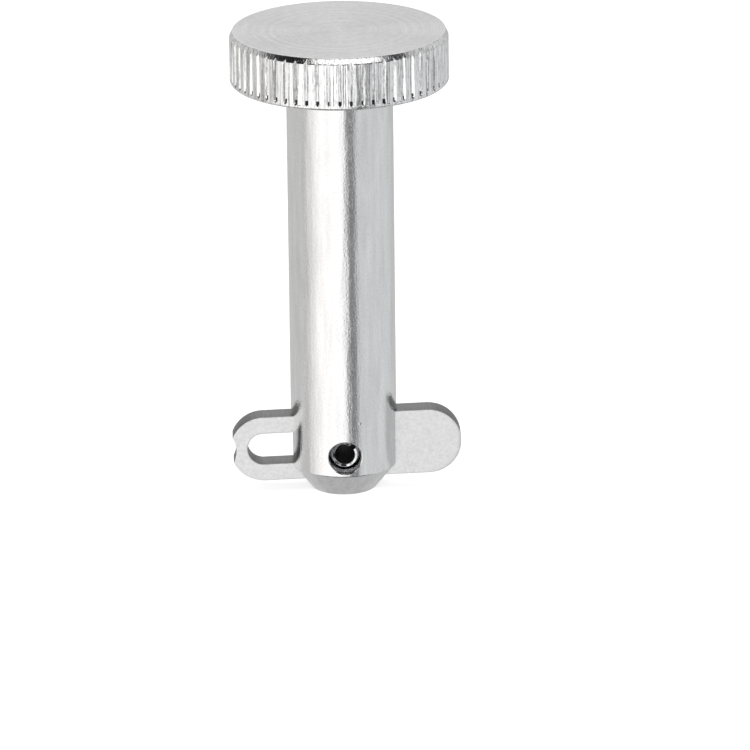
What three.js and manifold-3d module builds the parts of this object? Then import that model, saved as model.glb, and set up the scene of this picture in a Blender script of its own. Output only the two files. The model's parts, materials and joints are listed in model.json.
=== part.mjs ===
// Toggle locking pin: a knurled-head steel pin whose slotted tip carries a swinging, sliding blade.
// Millimetres, +Z up along the pin, origin at the centre of the tip face, +X towards the blade's solid end.
import * as THREE from "three";
import { mergeVertices } from "three/addons/utils/BufferGeometryUtils.js";
import Module from "manifold-3d";

// Pin body: head and shank turned from one bar.
const SHANK_RADIUS = 6.35;
const SHANK_LENGTH = 50.8;
const TIP_LAND = 0.6;
const TIP_CHAMFER_AXIAL = 3.1;
const HEAD_RADIUS = 13;
const HEAD_THICKNESS = 6.25;
const HEAD_TOP_CHAMFER_RADIAL = 0.36;
const HEAD_TOP_CHAMFER_AXIAL = 0.7;
const HEAD_LOWER_CHAMFER = 0.25;
const NECK_FILLET = 0.6;

// Straight knurl round the head.
const KNURL_COUNT = 61;
const KNURL_WIDTH = 0.5;
const KNURL_DEPTH = 0.25;
const KNURL_PLAIN_RING = 0.45;
const KNURL_FIRST_AZIMUTH = THREE.MathUtils.degToRad(-90.9);

// Swing blade, a stamped strip with round ends.
const BLADE_WIDTH = 8;
const BLADE_THICKNESS = 3;
const BLADE_SOLID_REACH = 14.15;
const BLADE_TRAVEL = 9.7;
const BLADE_REST_TILT = THREE.MathUtils.degToRad(1.8);
const NOTCH_DEPTH = 0.7;

// Cross pin, a rolled spring pin with a slit along it.
const PIVOT_HEIGHT = 5.45;
const CROSS_PIN_RADIUS = 1.85;
const CROSS_PIN_WALL = 0.65;
const CROSS_PIN_RECESS = 1.35;
const CROSS_PIN_CHAMFER = 0.25;
const CROSS_PIN_SLIT = 0.9;
const CROSS_PIN_SLIT_AZIMUTH = THREE.MathUtils.degToRad(45);

// Detent ball and the spring behind it.
const BALL_RADIUS = 3.175;
const SPRING_WIRE_RADIUS = 0.4;
const SPRING_LENGTH = 12;
const SPRING_ACTIVE_TURNS = 6;

// Clearances.
const BLADE_SIDE_CLEARANCE = 0.15;
const BLADE_END_CLEARANCE = 0.3;
const SLOT_CLEARANCE = 0.1;
const CROSS_HOLE_CLEARANCE = 0.1;
const BALL_BORE_CLEARANCE = 0.125;
const BALL_BLADE_CLEARANCE = 0.3;
const NOTCH_RADIUS_CLEARANCE = 0.025;
const SPRING_BORE_CLEARANCE = 0.3;
const SPRING_END_CLEARANCE = 0.1;

// Facets.
const SHANK_FACETS = 72;
const HEAD_FACETS = 2 * KNURL_COUNT;
const BORE_FACETS = 40;
const HOLE_FACETS = 32;
const ARC_POINTS = 12;
const BALL_FACETS = 28;
const WIRE_SIDES = 7;
const WIRE_STEPS_PER_TURN = 18;
const CUT_MARGIN = 1;

// Derived places.
const HEAD_TOP = SHANK_LENGTH + HEAD_THICKNESS;
const BLADE_HALF_WIDTH = BLADE_WIDTH / 2;
const SLOT_RADIUS = CROSS_PIN_RADIUS + SLOT_CLEARANCE;
const BORE_RADIUS = BALL_RADIUS + BALL_BORE_CLEARANCE;
const TIP_RADIUS = BORE_RADIUS + TIP_LAND;
const CROSS_PIN_LENGTH = 2 * (SHANK_RADIUS - CROSS_PIN_RECESS);
const NOTCH_RADIUS = BALL_RADIUS + NOTCH_RADIUS_CLEARANCE;
const WINDOW_WIDTH = BLADE_THICKNESS + 2 * BLADE_SIDE_CLEARANCE;
const WINDOW_TOP =
  PIVOT_HEIGHT +
  BLADE_HALF_WIDTH / Math.cos(BLADE_REST_TILT) +
  SHANK_RADIUS * Math.tan(BLADE_REST_TILT) +
  BLADE_END_CLEARANCE;
const BALL_HEIGHT =
  PIVOT_HEIGHT + (BLADE_HALF_WIDTH + BALL_RADIUS + BALL_BLADE_CLEARANCE) / Math.cos(BLADE_REST_TILT);
const SPRING_COIL_RADIUS = BORE_RADIUS - SPRING_BORE_CLEARANCE - SPRING_WIRE_RADIUS;
const SPRING_BASE =
  BALL_HEIGHT +
  Math.sqrt((BALL_RADIUS + SPRING_WIRE_RADIUS + SPRING_END_CLEARANCE) ** 2 - SPRING_COIL_RADIUS ** 2);
const BORE_DEPTH = SPRING_BASE + SPRING_LENGTH + SPRING_WIRE_RADIUS + SPRING_END_CLEARANCE;
const DRILL_POINT_DEPTH = BORE_RADIUS * Math.tan(THREE.MathUtils.degToRad(31));

const wasm = await Module();
wasm.setup();

// A closed geometry as a solid that can be joined and cut.
function solidOf(geometry) {
  const bare = geometry.clone();
  bare.deleteAttribute("normal");
  bare.deleteAttribute("uv");
  const merged = mergeVertices(bare, 1e-4);
  return new wasm.Manifold(
    new wasm.Mesh({
      numProp: 3,
      vertProperties: merged.getAttribute("position").array,
      triVerts: new Uint32Array(merged.getIndex().array),
    }),
  );
}

// A cut or joined solid as a geometry again.
function geometryOf(solid) {
  const mesh = solid.getMesh();
  const geometry = new THREE.BufferGeometry();
  geometry.setAttribute("position", new THREE.BufferAttribute(mesh.vertProperties, 3));
  geometry.setIndex(new THREE.BufferAttribute(mesh.triVerts, 1));
  return geometry;
}

// A profile of [radius, height] points, from axis to axis, turned round the Z axis.
function turned(profile, facets) {
  const points = profile.map(([radius, height]) => new THREE.Vector2(radius, height));
  return new THREE.LatheGeometry(points, facets).rotateX(Math.PI / 2);
}

// A flat outline in the XZ plane, made as thick as asked and centred on y = 0.
function plate(outline, thickness) {
  const geometry = new THREE.ExtrudeGeometry(outline, {
    depth: thickness,
    bevelEnabled: false,
    curveSegments: ARC_POINTS,
  });
  return geometry.translate(0, 0, -thickness / 2).rotateX(Math.PI / 2);
}

// A node: its name, its faceted geometry and its own metal finish.
function named(name, geometry, colour, roughness, metalness) {
  const flat = geometry.getIndex() ? geometry.toNonIndexed() : geometry;
  flat.computeVertexNormals();
  const mesh = new THREE.Mesh(
    flat,
    new THREE.MeshStandardMaterial({ color: colour, roughness, metalness }),
  );
  mesh.name = name;
  return mesh;
}

// Shank: chamfered tip, full-diameter length, and a fillet that runs into the head.
function shankProfile() {
  const profile = [
    [0, 0],
    [TIP_RADIUS, 0],
    [SHANK_RADIUS, TIP_CHAMFER_AXIAL],
  ];
  const filletSteps = 4;
  for (let i = 0; i <= filletSteps; i++) {
    const turn = (i / filletSteps) * (Math.PI / 2);
    profile.push([
      SHANK_RADIUS + NECK_FILLET * (1 - Math.cos(turn)),
      SHANK_LENGTH - NECK_FILLET + NECK_FILLET * Math.sin(turn),
    ]);
  }
  profile.push([SHANK_RADIUS + NECK_FILLET, SHANK_LENGTH + HEAD_THICKNESS / 2]);
  profile.push([0, SHANK_LENGTH + HEAD_THICKNESS / 2]);
  return profile;
}

// Head: a disc with a small lower chamfer and a taller upper one.
function headProfile() {
  return [
    [0, SHANK_LENGTH],
    [HEAD_RADIUS - HEAD_LOWER_CHAMFER, SHANK_LENGTH],
    [HEAD_RADIUS, SHANK_LENGTH + HEAD_LOWER_CHAMFER],
    [HEAD_RADIUS, HEAD_TOP - HEAD_TOP_CHAMFER_AXIAL],
    [HEAD_RADIUS - HEAD_TOP_CHAMFER_RADIAL, HEAD_TOP],
    [0, HEAD_TOP],
  ];
}

// One V groove cutter, standing up at the given azimuth with its ridge pointing inwards.
function knurlCutter(azimuth) {
  const flare = (KNURL_DEPTH + CUT_MARGIN) / KNURL_DEPTH;
  const section = new THREE.Shape();
  section.moveTo(HEAD_RADIUS - KNURL_DEPTH, 0);
  section.lineTo(HEAD_RADIUS + CUT_MARGIN, (-KNURL_WIDTH / 2) * flare);
  section.lineTo(HEAD_RADIUS + CUT_MARGIN, (KNURL_WIDTH / 2) * flare);
  section.closePath();
  const height = HEAD_THICKNESS - KNURL_PLAIN_RING + CUT_MARGIN;
  const cutter = new THREE.ExtrudeGeometry(section, { depth: height, bevelEnabled: false });
  return cutter.translate(0, 0, SHANK_LENGTH + KNURL_PLAIN_RING).rotateZ(azimuth);
}

// All grooves, cut one after another out of the head.
function knurledHead() {
  let head = solidOf(turned(headProfile(), HEAD_FACETS));
  for (let i = 0; i < KNURL_COUNT; i++) {
    const azimuth = KNURL_FIRST_AZIMUTH + (i / KNURL_COUNT) * 2 * Math.PI;
    head = head.subtract(solidOf(knurlCutter(azimuth)));
  }
  return head;
}

// Axial bore for the spring and ball, drilled from the tip.
function axialBore() {
  const profile = [
    [0, -CUT_MARGIN],
    [BORE_RADIUS, -CUT_MARGIN],
    [BORE_RADIUS, BORE_DEPTH],
    [0, BORE_DEPTH + DRILL_POINT_DEPTH],
  ];
  return solidOf(turned(profile, BORE_FACETS));
}

// Window sawn across the tip, which the blade lies in.
function bladeWindow() {
  const width = 2 * (SHANK_RADIUS + CUT_MARGIN);
  const height = WINDOW_TOP + CUT_MARGIN;
  const saw = new THREE.BoxGeometry(width, WINDOW_WIDTH, height);
  return solidOf(saw.translate(0, 0, WINDOW_TOP - height / 2));
}

// Hole drilled through both cheeks along Y, for the cross pin.
function crossHole() {
  const radius = CROSS_PIN_RADIUS + CROSS_HOLE_CLEARANCE;
  const length = 2 * (SHANK_RADIUS + CUT_MARGIN);
  const drill = new THREE.CylinderGeometry(radius, radius, length, HOLE_FACETS);
  return solidOf(drill.translate(0, 0, PIVOT_HEIGHT));
}

function pinBody() {
  const bar = knurledHead().add(solidOf(turned(shankProfile(), SHANK_FACETS)));
  const cut = bar.subtract(axialBore()).subtract(bladeWindow()).subtract(crossHole());
  return named("pin_body", geometryOf(cut), 0xc8cacb, 0.28, 1);
}

// Strip with round ends; the slotted end's arc is centred on the far end of the slot.
function bladeOutline() {
  const outline = new THREE.Shape();
  const solidCentre = BLADE_SOLID_REACH - BLADE_HALF_WIDTH;
  outline.absarc(solidCentre, 0, BLADE_HALF_WIDTH, -Math.PI / 2, Math.PI / 2, false);
  outline.absarc(-BLADE_TRAVEL, 0, BLADE_HALF_WIDTH, Math.PI / 2, (3 * Math.PI) / 2, false);
  outline.closePath();
  const slot = new THREE.Path();
  slot.absarc(0, 0, SLOT_RADIUS, -Math.PI / 2, Math.PI / 2, false);
  slot.absarc(-BLADE_TRAVEL, 0, SLOT_RADIUS, Math.PI / 2, (3 * Math.PI) / 2, false);
  slot.closePath();
  outline.holes.push(slot);
  return outline;
}

// Round notch that the ball drops into, as a cutter centred at (x, z) in the blade's own plane.
function notchCutter(x, z) {
  const disc = new THREE.Shape();
  disc.absarc(x, z, NOTCH_RADIUS, 0, 2 * Math.PI, false);
  return solidOf(plate(disc, BLADE_THICKNESS + 2 * CUT_MARGIN));
}

// The blade in its own frame, with the pivot at the origin and its length along X.
function swingBlade() {
  const offset = BLADE_HALF_WIDTH - NOTCH_DEPTH + NOTCH_RADIUS;
  const cut = solidOf(plate(bladeOutline(), BLADE_THICKNESS))
    .subtract(notchCutter(0, offset))
    .subtract(notchCutter(0, -offset))
    .subtract(notchCutter(-BLADE_TRAVEL - offset, 0));
  return named("swing_blade", geometryOf(cut), 0xdcdddb, 0.5, 1);
}

// The cross pin in its own frame: a rolled tube along Y with chamfered ends, cut open by its slit.
function crossPin() {
  const inner = CROSS_PIN_RADIUS - CROSS_PIN_WALL;
  const half = CROSS_PIN_LENGTH / 2;
  const profile = [
    [inner, -half],
    [CROSS_PIN_RADIUS - CROSS_PIN_CHAMFER, -half],
    [CROSS_PIN_RADIUS, CROSS_PIN_CHAMFER - half],
    [CROSS_PIN_RADIUS, half - CROSS_PIN_CHAMFER],
    [CROSS_PIN_RADIUS - CROSS_PIN_CHAMFER, half],
    [inner, half],
    [inner, -half],
  ];
  const saw = new THREE.BoxGeometry(2 * CROSS_PIN_RADIUS, CROSS_PIN_SLIT, CROSS_PIN_LENGTH + CUT_MARGIN);
  saw.translate(CROSS_PIN_RADIUS, 0, 0).rotateZ(CROSS_PIN_SLIT_AZIMUTH);
  const tube = solidOf(turned(profile, HOLE_FACETS)).subtract(solidOf(saw));
  const geometry = geometryOf(tube).rotateX(Math.PI / 2);
  return named("cross_pin", geometry, 0x2c2c2f, 0.42, 1);
}

function detentBall() {
  const ball = new THREE.SphereGeometry(BALL_RADIUS, BALL_FACETS, BALL_FACETS / 2).rotateX(Math.PI / 2);
  return named("detent_ball", geometryOf(solidOf(ball)), 0xd6d7d9, 0.12, 1);
}

// Spring centre line: one closed turn at each end and open turns between them.
class SpringLine extends THREE.Curve {
  getPoint(t) {
    const turns = SPRING_ACTIVE_TURNS + 2;
    const turn = t * turns;
    const closedPitch = 2 * SPRING_WIRE_RADIUS + SPRING_END_CLEARANCE;
    const openPitch = (SPRING_LENGTH - 2 * closedPitch) / SPRING_ACTIVE_TURNS;
    const lower = Math.min(turn, 1);
    const open = Math.min(Math.max(turn - 1, 0), SPRING_ACTIVE_TURNS);
    const upper = Math.max(turn - 1 - SPRING_ACTIVE_TURNS, 0);
    const angle = 2 * Math.PI * turn;
    return new THREE.Vector3(
      SPRING_COIL_RADIUS * Math.cos(angle),
      SPRING_COIL_RADIUS * Math.sin(angle),
      (lower + upper) * closedPitch + open * openPitch,
    );
  }
}

function detentSpring() {
  const section = new THREE.Shape();
  for (let i = 0; i < WIRE_SIDES; i++) {
    const angle = (i / WIRE_SIDES) * 2 * Math.PI;
    const x = SPRING_WIRE_RADIUS * Math.cos(angle);
    const y = SPRING_WIRE_RADIUS * Math.sin(angle);
    if (i === 0) section.moveTo(x, y);
    else section.lineTo(x, y);
  }
  section.closePath();
  const geometry = new THREE.ExtrudeGeometry(section, {
    steps: WIRE_STEPS_PER_TURN * (SPRING_ACTIVE_TURNS + 2),
    extrudePath: new SpringLine(),
  });
  return named("detent_spring", geometry, 0x8f9194, 0.35, 1);
}

const part = new THREE.Group();
part.add(pinBody());

const toggle = new THREE.Group();
toggle.position.z = PIVOT_HEIGHT;
toggle.rotation.y = -BLADE_REST_TILT;
toggle.add(swingBlade(), crossPin());
part.add(toggle);

const ball = detentBall();
ball.position.z = BALL_HEIGHT;
part.add(ball);

const spring = detentSpring();
spring.position.z = SPRING_BASE;
part.add(spring);

export default part;
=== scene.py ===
"""Toggle locking pin with a knurled head: its finished surfaces, built round the fixed frame."""

import json
import math

import bpy
import numpy as np
from mathutils import Matrix, Vector


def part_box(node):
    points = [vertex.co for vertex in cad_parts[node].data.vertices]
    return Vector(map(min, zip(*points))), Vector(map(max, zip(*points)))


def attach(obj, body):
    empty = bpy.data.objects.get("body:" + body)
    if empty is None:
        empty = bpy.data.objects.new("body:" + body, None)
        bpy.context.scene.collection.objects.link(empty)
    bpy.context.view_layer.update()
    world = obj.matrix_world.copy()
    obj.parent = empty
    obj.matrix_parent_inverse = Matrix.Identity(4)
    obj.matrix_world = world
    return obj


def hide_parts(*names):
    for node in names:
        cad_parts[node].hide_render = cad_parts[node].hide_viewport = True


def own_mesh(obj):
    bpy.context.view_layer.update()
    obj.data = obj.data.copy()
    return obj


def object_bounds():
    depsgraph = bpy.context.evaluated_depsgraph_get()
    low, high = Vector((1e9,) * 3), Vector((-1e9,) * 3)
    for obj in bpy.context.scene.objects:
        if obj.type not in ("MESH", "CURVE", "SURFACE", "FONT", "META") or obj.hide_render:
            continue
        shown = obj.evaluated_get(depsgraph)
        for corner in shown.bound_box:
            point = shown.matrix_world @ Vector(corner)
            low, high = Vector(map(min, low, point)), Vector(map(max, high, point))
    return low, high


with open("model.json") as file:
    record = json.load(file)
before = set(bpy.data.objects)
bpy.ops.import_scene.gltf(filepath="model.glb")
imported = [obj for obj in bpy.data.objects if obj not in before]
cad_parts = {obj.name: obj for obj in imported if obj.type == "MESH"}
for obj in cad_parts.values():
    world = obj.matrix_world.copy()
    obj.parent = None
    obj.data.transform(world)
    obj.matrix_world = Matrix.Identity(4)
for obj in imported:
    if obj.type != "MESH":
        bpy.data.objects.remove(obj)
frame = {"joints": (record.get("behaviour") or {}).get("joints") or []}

bl_info = {
    "name": "Toggle locking pin",
    "version": (1, 0, 0),
    "blender": (4, 5, 0),
    "location": "3D View > Sidebar > Toggle pin",
    "description": "Builds a knurled-head toggle pin with its blade, cross pin, ball and spring",
    "category": "Add Mesh",
}

MM = 0.001
CAD_LOW, CAD_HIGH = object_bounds()
_, BODY_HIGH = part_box("pin_body")
BLADE_LOW, BLADE_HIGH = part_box("swing_blade")
PIN_LOW, PIN_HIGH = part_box("cross_pin")
BALL_LOW, BALL_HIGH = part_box("detent_ball")
SPRING_LOW, SPRING_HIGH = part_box("detent_spring")
SWING = next(j for j in frame["joints"] if j["name"] == "blade_swing")
SLIDE = next(j for j in frame["joints"] if j["name"] == "blade_slide")
PIVOT = np.array(SWING["pos_m"])
BLADE_TILT = math.atan2(SLIDE["axis"][2], SLIDE["axis"][0])
BLADE_TRAVEL = SLIDE["range_m"][1]
# How high the near-black colour reaches up the foot of each knurl groove.
DARK_FEET_HEIGHT = 0.55 * MM
RANDOM_SEED = 61


# ---------------------------------------------------------------- colours and nodes


def linear_rgb(hex_colour):
    """An sRGB hex colour as linear red, green and blue."""
    parts = [int(hex_colour[i : i + 2], 16) / 255 for i in (1, 3, 5)]
    return tuple(c / 12.92 if c <= 0.04045 else ((c + 0.055) / 1.055) ** 2.4 for c in parts)


def add_node(tree, kind, settings=None, inputs=None):
    """Adds a node, sets its properties, and fills or links its inputs."""
    node = tree.nodes.new(kind)
    for name, value in (settings or {}).items():
        setattr(node, name, value)
    for name, value in (inputs or {}).items():
        if isinstance(value, bpy.types.NodeSocket):
            tree.links.new(value, node.inputs[name])
        else:
            node.inputs[name].default_value = value
    return node


def set_ramp(node, stops):
    """Gives a colour ramp its stops: each a place from 0 to 1, a grey value and its warmth."""
    ramp = node.color_ramp
    while len(ramp.elements) > 1:
        ramp.elements.remove(ramp.elements[-1])
    for number, (place, grey, warmth) in enumerate(stops):
        element = ramp.elements.new(place) if number else ramp.elements[0]
        element.position = place
        element.color = (grey * (1 + warmth), grey, grey * (1 - warmth), 1)
    return node


def new_metal(name, colour, roughness, metallic=1.0):
    """An empty metal: its tree, its Principled shader, and its Object coordinates."""
    material = bpy.data.materials.new(name)
    material.use_nodes = True
    tree = material.node_tree
    shader = tree.nodes["Principled BSDF"]
    shader.inputs["Base Color"].default_value = (*colour, 1)
    shader.inputs["Roughness"].default_value = roughness
    shader.inputs["Metallic"].default_value = metallic
    place = add_node(tree, "ShaderNodeTexCoord").outputs["Object"]
    return material, tree, shader, place


def cells(millimetres):
    """A texture's Scale, for a pattern whose cells are this far across."""
    return 1 / (millimetres * MM)


def mottle(tree, shader, pattern, colour, low, high):
    """Varies a metal's colour with a pattern, between two shares of itself."""
    darker = (*[c * low for c in colour], 1)
    lighter = (*[min(1, c * high) for c in colour], 1)
    inputs = {"Factor": pattern, "A": darker, "B": lighter}
    shade = add_node(tree, "ShaderNodeMix", {"data_type": "RGBA"}, inputs)
    tree.links.new(shade.outputs["Result"], shader.inputs["Base Color"])


def roughen(tree, shader, layers):
    """Dents a metal by patterns, one on another: each a height, a strength and a depth in mm."""
    below = {}
    for height, strength, depth in layers:
        inputs = {"Height": height, "Strength": strength, "Distance": depth * MM, **below}
        bump = add_node(tree, "ShaderNodeBump", inputs=inputs)
        below = {"Normal": bump.outputs["Normal"]}
    tree.links.new(below["Normal"], shader.inputs["Normal"])


# ---------------------------------------------------------------- materials


def zinc_on_bar(colours):
    """Bright zinc plate over drawn and turned bar.

    It gives a soft mirror whose edges run wavy along the pin, with a few pits and pale smears.
    """
    material, tree, shader, place = new_metal("zinc_plate_on_turned_bar", colours.bar, 0.2)
    # Drawing lines run along the bar, 1 mm apart across it and eight times as long.
    along = add_node(tree, "ShaderNodeMapping", inputs={"Vector": place, "Scale": (1, 1, 0.12)})
    waves = add_node(
        tree,
        "ShaderNodeTexNoise",
        inputs={"Vector": along.outputs[0], "Scale": cells(1), "Detail": 5, "Roughness": 0.6},
    )
    # The plate's own grain is near 0.05 mm; it is drawn at 0.25 mm so that it shows.
    grain = add_node(
        tree,
        "ShaderNodeTexNoise",
        inputs={"Vector": place, "Scale": cells(0.238), "Detail": 3, "Roughness": 0.6},
    )
    # Pits 0.2 mm across at the bottom and 0.5 mm at the rim, a few millimetres apart.
    pits = add_node(tree, "ShaderNodeTexVoronoi", inputs={"Vector": place, "Scale": cells(2.63)})
    pit = add_node(
        tree,
        "ShaderNodeMapRange",
        inputs={"Value": pits.outputs["Distance"], "From Min": 0.03, "From Max": 0.09},
    )
    roughen(
        tree,
        shader,
        [
            (waves.outputs["Fac"], 0.5, 0.08),
            (grain.outputs["Fac"], 0.7, 0.03),
            (pit.outputs["Result"], 0.5, 0.04),
        ],
    )
    rough = add_node(
        tree,
        "ShaderNodeMapRange",
        inputs={"Value": waves.outputs["Fac"], "To Min": 0.05, "To Max": 0.14},
    )
    tree.links.new(rough.outputs["Result"], shader.inputs["Roughness"])
    shades = add_node(
        tree,
        "ShaderNodeMix",
        inputs={"Factor": 0.35, "A": waves.outputs["Fac"], "B": grain.outputs["Fac"]},
    )
    mottle(tree, shader, shades.outputs["Result"], colours.bar, 0.64, 1.36)
    return material


def zinc_on_turned_rim(colours):
    """Bright zinc plate over the head's knurled rim and its chamfers.

    It gives the sharpest mirror on the pin, which turns each groove wall and chamfer dark or white.
    """
    material, tree, shader, place = new_metal("zinc_plate_on_turned_rim", colours.bar, 0.12)
    # Rolled metal is crazed at about 0.1 mm; it is drawn at 0.25 mm so that it shows.
    along = add_node(tree, "ShaderNodeMapping", inputs={"Vector": place, "Scale": (1, 1, 0.35)})
    grain = add_node(
        tree,
        "ShaderNodeTexNoise",
        inputs={"Vector": along.outputs[0], "Scale": cells(0.25), "Detail": 4, "Roughness": 0.65},
    )
    roughen(tree, shader, [(grain.outputs["Fac"], 0.6, 0.04)])
    # The roll drags lines along each land, about 0.25 mm apart.
    dragged = add_node(tree, "ShaderNodeMapping", inputs={"Vector": place, "Scale": (1, 1, 0.03)})
    lines = add_node(
        tree,
        "ShaderNodeTexNoise",
        inputs={"Vector": dragged.outputs[0], "Scale": cells(0.238), "Detail": 3, "Roughness": 0.6},
    )
    shades = add_node(
        tree,
        "ShaderNodeMix",
        inputs={"Factor": 0.3, "A": lines.outputs["Fac"], "B": grain.outputs["Fac"]},
    )
    lined = add_node(
        tree,
        "ShaderNodeMapRange",
        inputs={"Value": shades.outputs["Result"], "From Min": 0.38, "From Max": 0.52},
    )
    mottle(tree, shader, lined.outputs["Result"], colours.bar, 0.5, 1.14)
    return material


def zinc_on_faced_end(colours):
    """Zinc plate over a lathe-faced end.

    It gives a satin disc with faint rings, and a sheen that turns with them, because the tool's feed
    marks show through the plate.
    """
    material, tree, shader, place = new_metal("zinc_plate_on_faced_end", colours.faced, 0.34)
    shader.inputs["Anisotropic"].default_value = 0.9
    around = add_node(tree, "ShaderNodeTangent", {"direction_type": "RADIAL", "axis": "Z"})
    tree.links.new(around.outputs["Tangent"], shader.inputs["Tangent"])
    flat = add_node(tree, "ShaderNodeMapping", inputs={"Vector": place, "Scale": (1, 1, 0)})
    radius = add_node(tree, "ShaderNodeVectorMath", {"operation": "LENGTH"}, {0: flat.outputs[0]})
    # Feed marks are near 0.1 mm apart; they are drawn at about 0.6 mm so that they show.
    rings = add_node(
        tree,
        "ShaderNodeTexNoise",
        {"noise_dimensions": "1D"},
        {"W": radius.outputs["Value"], "Scale": cells(0.588), "Detail": 5, "Roughness": 0.7},
    )
    # Clouds come from the plating, and are as wide as the marks.
    clouds = add_node(
        tree,
        "ShaderNodeTexNoise",
        inputs={"Vector": place, "Scale": cells(0.625), "Detail": 5, "Roughness": 0.6},
    )
    marks = [(rings.outputs["Fac"], 1.0, 0.05), (clouds.outputs["Fac"], 0.25, 0.04)]
    roughen(tree, shader, marks)
    shades = add_node(
        tree,
        "ShaderNodeMix",
        inputs={"Factor": 0.6, "A": rings.outputs["Fac"], "B": clouds.outputs["Fac"]},
    )
    mottle(tree, shader, shades.outputs["Result"], colours.faced, 0.68, 1.24)
    return material


def dark_knurl_feet(colours):
    """A dull, near-black colour given to the foot of each knurl groove.

    It gives the head's lower edge a row of near-black dots.
    """
    material, tree, shader, place = new_metal("near_black_knurl_feet", colours.knurl_feet, 0.45, 0.6)
    patches = add_node(
        tree, "ShaderNodeTexNoise", inputs={"Vector": place, "Scale": cells(0.25), "Detail": 2}
    )
    mottle(tree, shader, patches.outputs["Fac"], colours.knurl_feet, 0.2, 1.8)
    return material


def zinc_on_strip(colours):
    """Dull zinc plate over tumbled strip.

    It gives the blade's flat faces a pale, even grey with a fine speckle.
    """
    material, tree, shader, place = new_metal("zinc_plate_on_tumbled_strip", colours.strip, 0.5)
    # Tumbling leaves dents near 0.1 mm; they are drawn at 0.3 mm so that they show.
    dents = add_node(
        tree,
        "ShaderNodeTexNoise",
        inputs={"Vector": place, "Scale": cells(0.3333), "Detail": 3, "Roughness": 0.6},
    )
    roughen(tree, shader, [(dents.outputs["Fac"], 0.3, 0.04)])
    mottle(tree, shader, dents.outputs["Fac"], colours.strip, 0.8, 1.2)
    return material


def zinc_on_sheared_edge(colours):
    """Zinc plate over the sheared edge of stamped strip.

    It gives a darker, rougher grey with short lines running through the thickness.
    """
    material, tree, shader, place = new_metal("zinc_plate_on_sheared_edge", colours.edge, 0.45)
    # Shear lines run through the thickness, about 0.3 mm apart.
    across = add_node(tree, "ShaderNodeMapping", inputs={"Vector": place, "Scale": (1, 0.12, 1)})
    lines = add_node(
        tree,
        "ShaderNodeTexNoise",
        inputs={"Vector": across.outputs[0], "Scale": cells(0.3125), "Detail": 3},
    )
    roughen(tree, shader, [(lines.outputs["Fac"], 0.4, 0.05)])
    mottle(tree, shader, lines.outputs["Fac"], colours.edge, 0.65, 1.3)
    return material


def rolled_spring_steel(colours):
    """Oiled spring steel, rolled from strip.

    It gives a tube whose dished end mirrors the dark hole on one side and the light on the other.
    """
    material, tree, shader, place = new_metal("oiled_spring_steel", colours.cross_pin, 0.14)
    # Rolling marks near 0.1 mm; they are drawn at 0.3 mm so that they show.
    marks = add_node(
        tree,
        "ShaderNodeTexNoise",
        inputs={"Vector": place, "Scale": cells(0.3333), "Detail": 4, "Roughness": 0.6},
    )
    roughen(tree, shader, [(marks.outputs["Fac"], 0.4, 0.04)])
    mottle(tree, shader, marks.outputs["Fac"], colours.cross_pin, 0.4, 1.5)
    return material


def oxide_in_pin_bore(colours):
    """Black furnace oxide and oil left inside the rolled tube.

    It gives a bore that looks black from end to end.
    """
    material, tree, shader, place = new_metal("black_oxide_in_bore", colours.oxide, 0.75, 0.0)
    flakes = add_node(
        tree, "ShaderNodeTexNoise", inputs={"Vector": place, "Scale": cells(0.4), "Detail": 3}
    )
    mottle(tree, shader, flakes.outputs["Fac"], colours.oxide, 0.5, 1.6)
    return material


def bearing_steel(colours):
    """Ground and lapped bearing steel.

    It gives the ball a clean mirror with the faintest haze.
    """
    material, tree, shader, place = new_metal("lapped_bearing_steel", colours.ball, 0.08)
    haze = add_node(
        tree, "ShaderNodeTexNoise", inputs={"Vector": place, "Scale": cells(1.11), "Detail": 2}
    )
    rough = add_node(
        tree,
        "ShaderNodeMapRange",
        inputs={"Value": haze.outputs["Fac"], "To Min": 0.05, "To Max": 0.12},
    )
    tree.links.new(rough.outputs["Result"], shader.inputs["Roughness"])
    return material


def drawn_wire(colours):
    """Cold-drawn music wire.

    It gives the spring a dull grey shine with fine scratches.
    """
    material, tree, shader, place = new_metal("drawn_music_wire", colours.spring, 0.32)
    scratches = add_node(
        tree, "ShaderNodeTexNoise", inputs={"Vector": place, "Scale": cells(0.2), "Detail": 2}
    )
    roughen(tree, shader, [(scratches.outputs["Fac"], 0.25, 0.02)])
    return material


# ---------------------------------------------------------------- mesh making


def rounded_profile(corners, steps=5):
    """A chain of (across, along, radius) corners as points, each corner turned into an arc.

    An arc touches both sides at radius over tan(half the corner's angle) from the corner, and its
    centre lies on the corner's bisector at radius over sin(half the angle).
    """
    corners = np.array(corners, float)
    points = [corners[0, :2]]
    for before, corner, after in zip(corners[:-2], corners[1:-1], corners[2:]):
        back = before[:2] - corner[:2]
        ahead = after[:2] - corner[:2]
        back = back / np.linalg.norm(back)
        ahead = ahead / np.linalg.norm(ahead)
        half = math.acos(np.clip(back @ ahead, -1, 1)) / 2
        radius = corner[2]
        if radius == 0 or half > math.radians(89):
            points.append(corner[:2])
            continue
        bisector = (back + ahead) / np.linalg.norm(back + ahead)
        centre = corner[:2] + bisector * radius / math.sin(half)
        first = corner[:2] + back * radius / math.tan(half) - centre
        last = corner[:2] + ahead * radius / math.tan(half) - centre
        share = np.linspace(0, 1, steps)[:, None]
        sweep = math.acos(np.clip(first @ last / radius**2, -1, 1))
        arc = (np.sin((1 - share) * sweep) * first + np.sin(share * sweep) * last) / math.sin(sweep)
        points.extend(centre + arc)
    points.append(corners[-1, :2])
    return np.array(points)


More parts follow.
